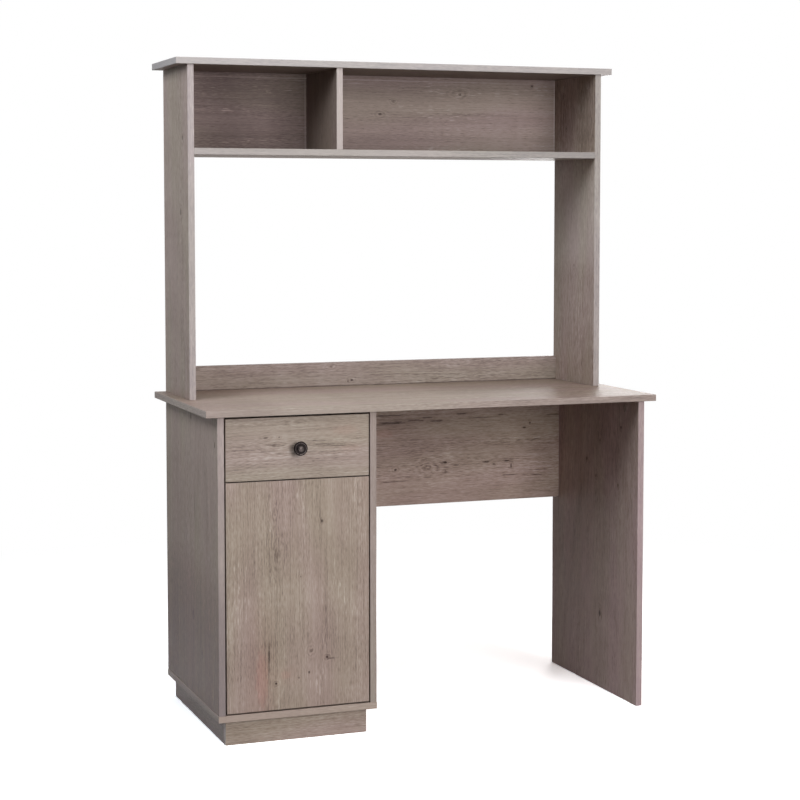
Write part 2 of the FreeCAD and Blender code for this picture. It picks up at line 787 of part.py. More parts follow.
def latch_case():
    """The push latch's case: a bored block with a screw ear above and below."""
    body = block(
        ped_right - latch_width,
        ped_right,
        latch_front,
        latch_front + latch_length,
        latch_z - latch_height / 2,
        latch_z + latch_height / 2,
    )
    body = body.makeChamfer(latch_arris, [e for e in body.Edges if e.CenterOfMass.x < ped_right - 1])
    ears = block(
        ped_right - ear_thickness,
        ped_right,
        ear_from,
        ear_to,
        latch_z - latch_height / 2 - ear_drop,
        latch_z + latch_height / 2 + ear_drop,
    )
    bore = rod(
        plunger_radius + plunger_play, V(latch_x, latch_front, latch_z), BACK, plunger_bore_length
    )
    return body.fuse(rounded(ears, ear_corner, 2 * ear_thickness)).cut(bore)


def push_latch():
    """Case, plunger with its magnet tip, the steel strike on the door, and the screws."""
    ear_middle = V(ped_right - ear_thickness, (ear_from + ear_to) / 2, latch_z)
    case_screws = [screw(latch_screw, ear_middle + way * latch_screw_offset, RIGHT) for way in (UP, DOWN)]
    strike_back = V(latch_x, y_inside, latch_z)
    strike_face = strike_back + BACK * strike_thickness
    strike_screw = screw(strike_screw_size, strike_face, FRONT)
    tip_face = strike_face + BACK * tip_gap
    tip = rod(tip_radius, tip_face, BACK, tip_length)
    return {
        "latch_case": latch_case().cut(case_screws),
        "latch_plunger": tip.fuse(rod(plunger_radius, tip_face, BACK, plunger_length)),
        "latch_screws": group(case_screws),
        "latch_strike": rod(strike_radius, strike_back, BACK, strike_thickness).cut(strike_screw),
        "strike_screw": strike_screw,
    }


# ---------------------------------------------------------------- assembly
let_into_boards = (
    "cam_bolts",
    "dowels",
    "panel_screws",
    "plinth_block_screws",
    "back_nails",
    "drawer_screws",
    "drawer_cams",
    "drawer_bolts",
    "knob_screw",
    "pedestal_runner_screws",
    "drawer_runner_screws",
    "hinge_plate_screws",
    "hinge_cup_screws",
    "latch_screws",
    "strike_screw",
)


def hardware():
    """Every fitting by name."""
    return {
        **cam_fittings(),
        "dowels": dowels(),
        "panel_screws": panel_screws(),
        **plinth_blocks(),
        "back_nails": back_nails(),
        "shelf_pins": shelf_pins(),
        **drawer_fittings(),
        "knob_screw": knob_screw(),
        **runners(),
        **hinges(),
        **push_latch(),
    }


def drilled(boards, cutters):
    """Each board with the room cut out that the fittings in it need."""
    made = {}
    for name, shape in boards.items():
        near = [cutter for cutter in cutters if cutter.BoundBox.intersect(shape.BoundBox)]
        made[name] = shape.cut(near) if near else shape
    return made


def build():
    """Every node by name."""
    fittings = hardware()
    cutters = [solid for name in let_into_boards for solid in fittings[name].Solids]
    cutters += [cam_bore(cam) for cam in cams]
    cutters += [cup_bore(z) for z in hinge_zs]
    boards = {
        **desk_boards(),
        **plinth_boards(),
        **hutch_boards(),
        **thin_backs(),
        **drawer_boards(),
        "door_panel": panel(front_left, front_right, y_face, y_inside, door_bottom, door_top),
        "cupboard_shelf": cupboard_shelf(),
        "drawer_knob": drawer_knob(),
    }
    boards = drilled(boards, cutters)
    for name, holes in shelf_pin_holes().items():
        boards[name] = boards[name].cut(holes)
    return {**boards, **fittings}


def main():
    os.makedirs("parts", exist_ok=True)
    nodes = build()
    for name, shape in nodes.items():
        assert shape.isValid() and shape.Solids, name
        shape.exportStep(os.path.join("parts", name + ".step"))
    print(len(nodes), "nodes,", sum(len(shape.Solids) for shape in nodes.values()), "solids")
    swing = math.hypot(pivot_setback, pivot_depth)
    print("the door's edge clears the pedestal by", round(pivot_x - ped_left - swing, 2), "mm as it swings")


main()
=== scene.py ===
"""Student desk with hutch in weathered oak print: the room, then every piece in the order that the desk goes
together. Metres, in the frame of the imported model."""

import math

import bpy
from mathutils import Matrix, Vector


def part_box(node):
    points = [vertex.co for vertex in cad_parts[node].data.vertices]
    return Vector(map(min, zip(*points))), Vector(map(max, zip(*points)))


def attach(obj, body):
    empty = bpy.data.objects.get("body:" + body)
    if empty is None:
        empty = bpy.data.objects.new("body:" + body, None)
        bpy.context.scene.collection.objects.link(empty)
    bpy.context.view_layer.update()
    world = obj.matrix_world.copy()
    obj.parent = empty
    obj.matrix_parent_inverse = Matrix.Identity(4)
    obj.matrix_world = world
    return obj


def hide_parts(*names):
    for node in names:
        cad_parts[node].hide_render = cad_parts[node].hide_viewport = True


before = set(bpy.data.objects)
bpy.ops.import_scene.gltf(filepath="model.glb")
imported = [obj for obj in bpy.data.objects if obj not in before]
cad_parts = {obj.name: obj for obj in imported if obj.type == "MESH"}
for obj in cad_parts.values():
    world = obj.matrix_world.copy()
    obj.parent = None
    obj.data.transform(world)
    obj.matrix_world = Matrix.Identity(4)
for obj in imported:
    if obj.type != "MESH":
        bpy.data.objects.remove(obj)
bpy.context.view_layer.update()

# ---------------------------------------------------------------- room and camera
# A pale floor under a white sky, and four soft lamps: in front, cool at the left, overhead, and low behind.
# Floor and sky look white to the eye and in metal but throw little light back, so shaded sides stay dark. The
# camera stands at the left and looks slightly down.
camera_place, camera_turn, camera_pitch = (-1.5834, -4.2254, 1.182), 20.405, 4.051
camera_lens, camera_shift = 85.91, -0.07
floor_size, floor_fade = 60.0, (0.8, 2.4)
floor_white, floor_return = (2.7, 2.7, 2.7, 1), (0.08, 0.08, 0.08, 1)
sky_white, sky_light = (1, 1, 1, 1), (0.118, 0.110, 0.110, 1)


def paint(red, green, blue):
    """A colour from a paint card, 0 to 255, as the linear colour that a shader takes."""
    shares = [channel / 255 for channel in (red, green, blue)]
    return (*[s / 12.92 if s < 0.04 else ((s + 0.055) / 1.055) ** 2.4 for s in shares], 1)


def plug(tree, node, sockets):
    """Puts values, or other nodes' outputs, into a node's inputs, by socket name or in socket order."""
    pairs = sockets.items() if isinstance(sockets, dict) else enumerate(sockets)
    for key, value in pairs:
        if isinstance(value, bpy.types.NodeSocket):
            tree.links.new(value, node.inputs[key])
        else:
            node.inputs[key].default_value = value


def add_node(tree, kind, sockets=(), **settings):
    """A shader node with its settings and what goes into its sockets."""
    made = tree.nodes.new("ShaderNode" + kind)
    for key, value in settings.items():
        setattr(made, key, value)
    plug(tree, made, sockets)
    return made


def calc(tree, operation, *values, clamp=False):
    """The result of one sum."""
    return add_node(tree, "Math", values, operation=operation, use_clamp=clamp).outputs[0]


# Where a Mix node takes its two values and gives its result, by what it mixes.
mix_sockets = {"RGBA": (6, 7, 2), "VECTOR": (4, 5, 1)}


def mix(tree, share, first, second, way="MIX", kind="RGBA"):
    """The second colour or vector over the first, by a share."""
    at_first, at_second, at_result = mix_sockets[kind]
    sockets = {0: share, at_first: first, at_second: second}
    return add_node(tree, "Mix", sockets, data_type=kind, blend_type=way).outputs[at_result]


def ramp(tree, value, start, end, to_start=0.0, to_end=1.0):
    """A value carried smoothly from one range to another."""
    sockets = [value, start, end, to_start, to_end]
    return add_node(tree, "MapRange", sockets, interpolation_type="SMOOTHSTEP").outputs[0]


def looked_at(tree):
    """1 on rays from the eye, also in metal or through glass, and 0 on light on its way to the desk."""
    ray = add_node(tree, "LightPath").outputs
    mirrored = calc(tree, "ADD", ray["Is Glossy Ray"], ray["Is Transmission Ray"])
    return calc(tree, "ADD", ray["Is Camera Ray"], mirrored, clamp=True)


bpy.ops.object.select_all(action="DESELECT")
bpy.ops.mesh.primitive_plane_add(size=floor_size)
floor = bpy.context.object
floor.name = "floor"
floor_paint = bpy.data.materials.new("pale floor")
floor_paint.use_nodes = True
tree = floor_paint.node_tree
tree.nodes.remove(tree.nodes["Principled BSDF"])
seen = looked_at(tree)
far_off = add_node(tree, "VectorMath", [add_node(tree, "TexCoord").outputs["Object"]], operation="LENGTH")
fade = calc(tree, "MULTIPLY", ramp(tree, far_off.outputs["Value"], *floor_fade), seen)
matte = add_node(tree, "BsdfDiffuse", [mix(tree, seen, floor_return, floor_white)])
glow = add_node(tree, "Emission", [sky_white])
faded = add_node(tree, "MixShader", [fade, matte.outputs[0], glow.outputs[0]])
plug(tree, tree.nodes["Material Output"], {"Surface": faded.outputs[0]})
floor.data.materials.append(floor_paint)

sky = bpy.data.worlds.new("white room")
sky.use_nodes = True
bpy.context.scene.world = sky
tree = sky.node_tree
plug(tree, tree.nodes["Background"], {"Color": mix(tree, looked_at(tree), sky_light, sky_white)})


def soft_lamp(name, place, height, size, power, colour):
    """A square soft box turned towards the middle of the desk at a height."""
    bpy.ops.object.light_add(type="AREA", location=place)
    lamp = bpy.context.object
    lamp.name = name
    lamp.rotation_euler = (Vector((0, 0, height)) - Vector(place)).to_track_quat("-Z", "Y").to_euler()
    lamp.data.size = size
    lamp.data.energy = power
    lamp.data.color = colour


soft_lamp("front lamp", (0.5, -4.2, 1.5), height=0.75, size=2.4, power=132, colour=(1.0, 0.98, 0.99))
soft_lamp("left lamp", (-2.0, -0.95, 2.5), height=0.95, size=1.2, power=41, colour=(0.86, 0.93, 1.0))
soft_lamp("top lamp", (0.3, -1.0, 3.2), height=0.7, size=2.0, power=22, colour=(1.0, 0.96, 0.90))
soft_lamp("back lamp", (2.6, 3.3, 1.1), height=0.75, size=1.6, power=75, colour=(1.0, 0.98, 0.97))

camera_angles = (math.radians(90 - camera_pitch), 0, math.radians(-camera_turn))
bpy.ops.object.camera_add(location=camera_place, rotation=camera_angles)
camera = bpy.context.object
camera.data.lens = camera_lens
camera.data.shift_y = camera_shift
bpy.context.scene.camera = camera
bpy.context.scene.view_settings.view_transform = "Standard"

# ---------------------------------------------------------------- desk top
# Particleboard under a printed oak paper with a light emboss: pale greige, streaked, limed in places, with
# small dark knots that the grain runs round. A tape of the same print, laid lengthwise, bands the edges.
oak_tones = (
    (0.00, (66, 55, 51)),
    (0.26, (112, 98, 90)),
    (0.50, (158, 143, 132)),
    (0.72, (180, 168, 158)),
    (1.00, (205, 197, 188)),
)
mauve, straw, rose = (1.024, 0.985, 1.0, 1), (0.990, 1.006, 0.945, 1), (1.05, 0.86, 0.86, 1)
tape_grey, tape_share, oak_gloss = paint(172, 165, 161), 0.42, 0.12
rings_a_metre, square_on, any_depth = 165, 0.9, 1000


def noise(tree, place, repeats, detail=1.0, rough=0.5):
    """Cloudy noise drawn out by its repeats a metre along the grain, across it and into the board."""
    drawn = add_node(tree, "VectorMath", [place, repeats], operation="MULTIPLY").outputs[0]
    sockets = {"Vector": drawn, "Scale": 1.0, "Detail": detail, "Roughness": rough}
    return add_node(tree, "TexNoise", sockets).outputs["Fac"]


def around(tree, value, size):
    """Noise taken from its middle and scaled, so that it adds as much as it takes away."""
    return calc(tree, "MULTIPLY", calc(tree, "SUBTRACT", value, 0.5), size)


def total(tree, values):
    """The sum of several values."""
    result = values[0]
    for value in values[1:]:
        result = calc(tree, "ADD", result, value)
    return result


def open_group(name, inputs, outputs):
    """A node group with sockets given as {name: kind}, and what goes into it."""
    tree = bpy.data.node_groups.new(name, "ShaderNodeTree")
    for way, sockets in (("INPUT", inputs), ("OUTPUT", outputs)):
        for socket, kind in sockets.items():
            tree.interface.new_socket(socket, in_out=way, socket_type="NodeSocket" + kind)
    return tree, tree.nodes.new("NodeGroupInput").outputs


def make_oak_print():
    """The figure that every board shares: streaks, fibres, rings round a heart line, pores and liming."""
    tree, given = open_group(
        "oak print",
        {"Place": "Vector", "Mark": "Float", "Bold": "Float"},
        {"Colour": "Color", "Roughness": "Float", "Height": "Float"},
    )
    place = given["Place"]
    wander = around(tree, noise(tree, place, (1.3, 8, 8)), 0.020)
    ripple = around(tree, noise(tree, place, (7, 48, 48)), 0.0018)
    sway = add_node(tree, "CombineXYZ", [0.0, calc(tree, "ADD", wander, ripple), 0.0]).outputs[0]
    bent = add_node(tree, "VectorMath", [place, sway], operation="ADD").outputs[0]
    along, across, _ = add_node(tree, "SeparateXYZ", [bent]).outputs
    lean = calc(tree, "ADD", calc(tree, "MULTIPLY", along, 0.06), 0.02)
    ring_reach = add_node(tree, "CombineXYZ", [lean, across, 0.0]).outputs[0]
    from_heart = add_node(tree, "VectorMath", [ring_reach], operation="LENGTH").outputs["Value"]
    ring_sockets = {"W": calc(tree, "MULTIPLY", from_heart, rings_a_metre), "Scale": 1.0, "Detail": 2.0}
    rings = add_node(tree, "TexNoise", ring_sockets, noise_dimensions="1D").outputs["Fac"]
    bands = noise(tree, bent, (1.1, 34, 34), 2)
    patches = noise(tree, place, (3.2, 10, 10), 2)
    lines = noise(tree, bent, (3.4, 330, 330), 1)
    streaks = noise(tree, bent, (11, 430, 430), 2)
    fibres = noise(tree, bent, (70, 640, 640), 2)
    pores = ramp(tree, noise(tree, bent, (55, 900, 900), 1), 0.63, 0.74)
    busy = ramp(tree, noise(tree, place, (1.5, 24, 24), 1), 0.38, 0.62, 0.60, 1.1)
    worn = ramp(tree, noise(tree, place, (5, 26, 26), 1), 0.52, 0.66)
    limed = calc(tree, "MULTIPLY", ramp(tree, noise(tree, bent, (38, 330, 330), 2), 0.56, 0.68), worn)
    fleck = calc(tree, "MULTIPLY", pores, -0.14)
    fine = total(tree, [around(tree, streaks, 0.40), around(tree, fibres, 0.60)])
    fine = calc(tree, "MULTIPLY", calc(tree, "MULTIPLY", fine, busy), given["Bold"])
    tone = total(
        tree,
        [
            0.5,
            around(tree, bands, 0.17),
            around(tree, patches, 0.10),
            around(tree, rings, 0.12),
            around(tree, lines, 0.14),
            fine,
            calc(tree, "MULTIPLY", limed, 0.20),
            fleck,
            calc(tree, "MULTIPLY", given["Mark"], -0.75),
        ],
    )
    stain = add_node(tree, "ValToRGB", [tone])
    stops = stain.color_ramp.elements
    while len(stops) < len(oak_tones):
        stops.new(0.5)
    for stop, (at, colour) in zip(stops, oak_tones):
        stop.position = at
        stop.color = paint(*colour)
    hue = mix(tree, ramp(tree, noise(tree, place, (2.4, 11, 11), 1), 0.34, 0.66), mauve, straw)
    colour = mix(tree, 1.0, stain.outputs[0], hue, "MULTIPLY")
    rough = total(tree, [0.52, around(tree, streaks, 0.30), calc(tree, "MULTIPLY", limed, 0.10)])
    raised = [around(tree, fibres, 0.8), around(tree, streaks, 0.7), calc(tree, "MULTIPLY", fleck, 4.0)]
    plug(tree, tree.nodes.new("NodeGroupOutput"), [colour, rough, total(tree, raised)])
    return tree


def make_oak_knot():
    """One knot, crack, or patch of painted shade or painted light: how dark the print is there, and how far
    it pushes the grain aside. Edges are given in half sizes from its centre. A small mark's edge is ragged,
    and a wide one's fades evenly."""
    core_edge, halo_edge, swirl_edge = (1.15, 0.45), (2.8, 0.9), (5.0, 1.2)
    wide, small, even_edge, ragged_edge = 0.30, 0.06, 0.2, 1.1
    halo_dark, curl_dark, curl_turns, curl_stray = 0.22, 0.09, 3.4, 3.2
    tree, given = open_group(
        "oak knot",
        {"Place": "Vector", "Centre": "Vector", "Size": "Vector", "Dark": "Float", "Push": "Float"},
        {"Mark": "Float", "Aside": "Float"},
    )
    place, size, push = given["Place"], given["Size"], given["Push"]
    offset = add_node(tree, "VectorMath", [place, given["Centre"]], operation="SUBTRACT").outputs[0]
    half_length = add_node(tree, "SeparateXYZ", [size]).outputs[0]
    raggedness = ramp(tree, half_length, wide, small, even_edge, ragged_edge)
    ragged = around(tree, noise(tree, place, (90, 260, 260), 2), raggedness)
    reach = add_node(tree, "VectorMath", [offset, size], operation="DIVIDE").outputs[0]
    reach = add_node(tree, "VectorMath", [reach], operation="LENGTH").outputs["Value"]
    uneven = calc(tree, "ADD", reach, ragged)
    core = ramp(tree, uneven, *core_edge)
    halo = calc(tree, "MULTIPLY", ramp(tree, uneven, *halo_edge), halo_dark)
    winding = calc(tree, "ADD", uneven, around(tree, noise(tree, place, (38, 110, 110)), curl_stray))
    curls = calc(tree, "MULTIPLY", calc(tree, "SINE", calc(tree, "MULTIPLY", winding, curl_turns)), curl_dark)
    swirl = calc(tree, "MULTIPLY", calc(tree, "MULTIPLY", curls, ramp(tree, reach, *swirl_edge)), push)
    mark = calc(tree, "MULTIPLY", calc(tree, "MAXIMUM", core, halo), given["Dark"])
    spread = calc(tree, "ADD", calc(tree, "POWER", calc(tree, "MULTIPLY", reach, 0.5), 2.0), 1.0)
    fading = calc(tree, "DIVIDE", push, calc(tree, "MULTIPLY", spread, spread))
    sideways = add_node(tree, "SeparateXYZ", [offset]).outputs[1]
    aside = calc(tree, "MULTIPLY", calc(tree, "MULTIPLY", sideways, fading), -1.0)
    plug(tree, tree.nodes.new("NodeGroupOutput"), [calc(tree, "ADD", mark, swirl), aside])
    return tree


oak_print, oak_knot = make_oak_print(), make_oak_knot()


def oak(
    name,
    grain,
    width,
    start,
    marks=(),
    blushes=(),
    tint=(1, 1, 1, 1),
    under=None,
    painted_shading_marks=(),
    tape=tape_grey,
    end_tape=None,
    bold=1.0,
):
    """The laminate of one board and the tape on its edges. grain and width are axes, start is where its print
    begins on the roll, and bold is how strong its fine streaks are. tint multiplies the colour of its faces
    or, where under is given, of all but the face that looks down, left or forward. under multiplies that face
    instead, as painted shade where it is below 1 and painted light where above, and only that face takes the
    marks given for it alone, which are painted shade and painted light. end_tape is the tape across the grain
    where that differs. A mark is (along, across, half length, half width, darkness, push on the grain), and
    paler than its board where its darkness is negative. A blush is a rosy mark."""
    material = bpy.data.materials.new(name)
    material.use_nodes = True
    tree = material.node_tree
    depth = next(axis for axis in "XYZ" if axis not in grain + width)
    where = add_node(tree, "TexCoord").outputs
    at = add_node(tree, "SeparateXYZ", [where["Object"]]).outputs
    outward = add_node(tree, "SeparateXYZ", [where["Normal"]]).outputs
    turned = add_node(tree, "VectorMath", [where["Normal"]], operation="ABSOLUTE").outputs[0]
    facing = add_node(tree, "SeparateXYZ", [turned]).outputs
    flat = add_node(tree, "CombineXYZ", [at[grain], at[width], at[depth]]).outputs[0]
    lengthwise = add_node(tree, "CombineXYZ", [at[width], at[depth], at[grain]]).outputs[0]
    on_end = calc(tree, "GREATER_THAN", facing[grain], square_on)
    on_edge = calc(tree, "LESS_THAN", facing[depth], square_on)
    beneath = calc(tree, "LESS_THAN", outward[depth], 0.0)
    place = mix(tree, on_end, flat, lengthwise, kind="VECTOR")

    def knot(along, across, half_length, half_width, dark, push=0.0):
        centre, size = (along, across, 0), (half_length, half_width, any_depth)
        sockets = {"Place": place, "Centre": centre, "Size": size, "Dark": dark, "Push": push}
        return add_node(tree, "Group", sockets, node_tree=oak_knot).outputs

    knots = [knot(*mark) for mark in marks]
    aside = total(tree, [0.0, *[outputs["Aside"] for outputs in knots]])
    moved = add_node(tree, "CombineXYZ", [start[0], calc(tree, "ADD", aside, start[1]), start[2]]).outputs[0]
    on_roll = add_node(tree, "VectorMath", [place, moved], operation="ADD").outputs[0]
    # Marks for the face that looks down, left or forward alone: painted shade and painted light.
    painted_shading_dark = total(tree, [0.0, *[knot(*mark)["Mark"] for mark in painted_shading_marks]])
    dark = total(tree, [calc(tree, "MULTIPLY", painted_shading_dark, beneath), *[outputs["Mark"] for outputs in knots]])
    sockets = {"Place": on_roll, "Mark": dark, "Bold": bold}
    figure = add_node(tree, "Group", sockets, node_tree=oak_print).outputs
    flush = total(tree, [0.0, *[knot(*blush)["Mark"] for blush in blushes]])
    colour = mix(tree, flush, figure["Colour"], rose, "MULTIPLY")
    # On that face under takes the place of tint, as painted shade and painted light.
    shade = tint if under is None else mix(tree, beneath, tint, under)
    banding = tape if end_tape is None else mix(tree, on_end, tape, end_tape)
    face_colour = mix(tree, 1.0, colour, shade, "MULTIPLY")
    edge_colour = mix(tree, tape_share, colour, banding)
    emboss = {"Strength": 0.35, "Distance": 0.0003, "Height": figure["Height"]}
    sockets = {
        "Base Color": mix(tree, on_edge, face_colour, edge_colour),
        "Roughness": figure["Roughness"],
        "Normal": add_node(tree, "Bump", emboss).outputs[0],
        "Specular IOR Level": oak_gloss,
    }
    plug(tree, tree.nodes["Principled BSDF"], sockets)
    return material


def dress(material, *nodes):
    """Gives CAD nodes their finish."""
    for node in nodes:
        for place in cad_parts[node].material_slots:
            place.material = material


# Broad bands across the whole top, darker at both ends and paler between: painted shade and painted light.
top_painted_shading = (
    (-0.5300, 0.0, 0.200, 3.0, 0.08),
    (-0.2800, 0.0, 0.120, 3.0, -0.09),
    (0.0000, 0.0, 0.200, 3.0, -0.05),
    (0.2400, 0.0, 0.200, 3.0, 0.08),
    (0.5500, 0.0, 0.250, 3.0, 0.11),
)
desk_top_print = oak(
    "desk top print",
    "X",
    "Y",
    (4.3, 0.31, 0.2),
    top_painted_shading,
    tint=(1.0, 0.955, 0.96, 1),
    tape=paint(172, 160, 154),
    bold=1.3,
)
dress(desk_top_print, "desk_top")

# ---------------------------------------------------------------- ends and pedestal
# Upright boards with the grain standing: the left end and the pedestal's side carry the drawer and the door
# between them, the right end goes to the floor, and the pedestal's bottom runs under both its sides.
left_end_knots = (
    (0.7091, 0.0070, 0.008, 0.005, 0.45, 0.8),
    (0.6670, -0.2030, 0.008, 0.005, 0.50, 0.8),
    (0.2574, -0.0027, 0.007, 0.005, 0.45, 0.7),
    (0.1811, -0.0829, 0.006, 0.004, 0.42, 0.6),
    (0.5053, -0.0230, 0.036, 0.004, 0.28),
    (0.4800, -0.1345, 0.050, 0.004, 0.16),
)
# Painted shade and light: darker towards the foot and a little towards the back, and paler at the top.
left_end_painted_shading = (
    (0.0300, 0.0200, 0.420, 0.800, 0.44),
    (0.3500, 0.2000, 0.500, 0.120, 0.07),
    (0.6900, 0.0200, 0.100, 0.800, -0.07),
)
left_end_blush = ((0.0300, 0.0200, 0.420, 0.800, 0.48),)
right_end_knots = (
    (0.1855, -0.0300, 0.009, 0.006, 0.75, 0.8),
    (0.6584, -0.1365, 0.005, 0.004, 0.55, 0.6),
    (0.6142, -0.0242, 0.004, 0.003, 0.45, 0.5),
    (0.5608, 0.0477, 0.004, 0.003, 0.50, 0.5),
    (0.5248, -0.0033, 0.005, 0.004, 0.50, 0.6),
    (0.5162, -0.1227, 0.005, 0.003, 0.45, 0.5),
)
# The right end's tape is pinkish and pale: its own colour, made pale as painted light where the desk top
# shades it.
left_tape, side_tape, right_tape_painted_light = paint(184, 174, 175), paint(158, 148, 144), paint(188, 164, 176)
left_start, side_start, right_start = (1.7, 0.09, 0.6), (7.9, -0.12, 1.1), (12.4, 0.05, 2.3)
left_end_marks = left_end_knots + left_end_painted_shading
left_end_print = oak("left end print", "Z", "Y", left_start, left_end_marks, left_end_blush, tape=left_tape)
dress(left_end_print, "left_end")
dress(oak("pedestal side print", "Z", "Y", side_start, tape=side_tape), "pedestal_side")
# The face that looks left, into the knee space, is made paler and pinker: painted light.
right_end_painted_light = (1.13, 1.02, 1.11, 1)
right_end_print = oak(
    "right end print", "Z", "Y", right_start, right_end_knots, under=right_end_painted_light, tape=right_tape_painted_light
)
dress(right_end_print, "right_end")
# Its end edges, at the foot of the two sides, are taped nearly black: painted shade.
bottom_print = oak(
    "pedestal bottom print",
    "X",
    "Y",
    (15.2, 0.2, 0.7),
    tape=paint(188, 172, 160),
    end_tape=paint(52, 38, 40),
)
dress(bottom_print, "pedestal_bottom")

# ---------------------------------------------------------------- modesty panel
# The cross board behind the knees, grain lying, set forward of the desk's back edge. It has the busiest
# figure of all: a chain of dark knots along its middle.
modesty_knots = (
    (0.1884, 0.5445, 0.0060, 0.0030, 0.80, 0.9),
    (0.1900, 0.5210, 0.0040, 0.0060, 0.30, 0.0),
    (0.2180, 0.5370, 0.0090, 0.0022, 0.50, 0.5),
    (0.3000, 0.5410, 0.0150, 0.0020, 0.65, 0.4),
    (0.3228, 0.5336, 0.0060, 0.0026, 0.65, 0.5),
    (0.3580, 0.5413, 0.0090, 0.0024, 0.70, 0.4),
    (0.3699, 0.5290, 0.0032, 0.0060, 0.65, 0.5),
    (0.0550, 0.5324, 0.0045, 0.0035, 0.50, 0.9),
    (0.1426, 0.5344, 0.0110, 0.0090, 0.12, 1.4),
    (0.4219, 0.6365, 0.0030, 0.0040, 0.50, 0.5),
    (0.4066, 0.6247, 0.0050, 0.0024, 0.45, 0.5),
)
modesty_streaks = (
    (0.0450, 0.6500, 0.0400, 0.0030, 0.40),
    (0.1100, 0.6540, 0.0300, 0.0024, 0.35),
    (0.1392, 0.6598, 0.0180, 0.0026, 0.40),
    (0.1680, 0.6510, 0.0180, 0.0022, 0.35),
    (0.0422, 0.6690, 0.0600, 0.0016, 0.35),
    (0.2310, 0.6661, 0.0180, 0.0015, 0.50),
    (0.2900, 0.6550, 0.0600, 0.0014, 0.30),
    (0.3408, 0.6598, 0.0100, 0.0020, 0.40),
    (0.4900, 0.6552, 0.0250, 0.0015, 0.45),
    (0.0500, 0.5020, 0.0500, 0.0020, 0.35),
    (0.3649, 0.5052, 0.0350, 0.0014, 0.40),
    (0.4395, 0.5015, 0.0250, 0.0014, 0.40),
    (0.4426, 0.5655, 0.0400, 0.0030, 0.16),
)
# Painted light and shade: paler across the middle at the right, darker high at the left, and darker along the
# top at the right, as the desk top's painted shadow.
modesty_painted_shading = (
    (0.3700, 0.5320, 0.1500, 0.0200, -0.07),
    (0.4300, 0.7050, 0.2200, 0.0500, 0.14),
    (0.0600, 0.6450, 0.1100, 0.0300, 0.07),
)
modesty_blush = ((0.0220, 0.6230, 0.0350, 0.0140, 0.5),)
modesty_print = oak(
    "modesty panel print",
    "X",
    "Z",
    (20.6, -0.54, 0.3),
    modesty_knots + modesty_streaks + modesty_painted_shading,
    modesty_blush,
    tint=(1.03, 0.98, 0.99, 1),
    bold=1.3,
)
dress(modesty_print, "modesty_panel")

# ---------------------------------------------------------------- plinth
# Four boards on edge under the pedestal, in the same print with the grain lying. They are set back from its
# face, and blocks in their corners hold them.
# The front and back boards are made a little paler: painted light.
plinth_print = oak("plinth front print", "X", "Z", (24.1, 0.07, 0.4), tint=(1.08, 1.07, 1.08, 1))
dress(plinth_print, "plinth_front", "plinth_back")
# The side boards, set back under the pedestal, are darkened to about half: painted shade.
plinth_side_print = oak("plinth side print", "Y", "Z", (27.5, 0.04, 0.9), tint=(0.52, 0.47, 0.51, 1))
dress(plinth_side_print, "plinth_left", "plinth_right")

# ---------------------------------------------------------------- hutch
# Two uprights, the divider, the shelf and the top. They are dowelled and cammed together and stand on the
# back of the desk top, with a low rail between the uprights' feet.
left_knots = ((1.3436, 0.0651, 0.007, 0.006, 0.35, 0.9), (1.1742, 0.0860, 0.009, 0.007, 0.38, 0.9))
right_knots = ((1.0400, 0.1300, 0.006, 0.003, 0.35, 0.5), (1.3840, 0.1800, 0.004, 0.003, 0.50, 0.6))
# Painted shade and light on the inner face: darker in the cubby, paler below the shelf, a thin pale line
# lower.
right_painted_shading = (
    (1.4100, 0.1200, 0.110, 0.300, 0.19),
    (1.1600, 0.1200, 0.160, 0.300, -0.37),
    (1.0300, 0.1560, 0.200, 0.001, -0.32),
)
rail_knots = (
    (-0.1064, 0.7942, 0.0060, 0.0030, 0.30, 1.2),
    (-0.1010, 0.7935, 0.0100, 0.0012, -0.35),
    (-0.0525, 0.7589, 0.0050, 0.0035, 0.50, 1.0),
    (-0.0625, 0.7560, 0.0030, 0.0020, 0.40, 0.5),
    (-0.0480, 0.7620, 0.0080, 0.0012, -0.30),
)
# A dark line along the rail's foot where it meets the desk top: painted shade in the joint.
rail_foot_painted_shadow = ((0.0000, 0.7452, 2.0000, 0.0013, 0.90),)
tape_pale, tape_white = paint(204, 198, 199), paint(195, 197, 203)
left_print = oak(
    "left upright print",
    "Z",
    "Y",
    (31.3, -0.19, 0.5),
    left_knots,
    tint=(1.01, 0.98, 0.99, 1),
    tape=paint(186, 182, 186),
    bold=1.5,
)
dress(left_print, "hutch_left_upright", "cam_caps")
right_print = oak(
    "right upright print",
    "Z",
    "Y",
    (33.8, -0.12, 0.5),
    right_knots,
    under=(1.03, 0.99, 1.01, 1),
    painted_shading_marks=right_painted_shading,
    tape=paint(172, 172, 176),
    bold=1.3,
)
dress(right_print, "hutch_right_upright")
# The divider's left face and the hutch top's underside, inside the cubbies, are darkened: painted shade.
divider_painted_shade, hutch_top_painted_shade = (0.56, 0.52, 0.54, 1), (0.58, 0.55, 0.57, 1)
divider_print = oak("divider print", "Z", "Y", (36.2, -0.05, 0.5), under=divider_painted_shade, tape=tape_pale)
dress(divider_print, "hutch_divider")
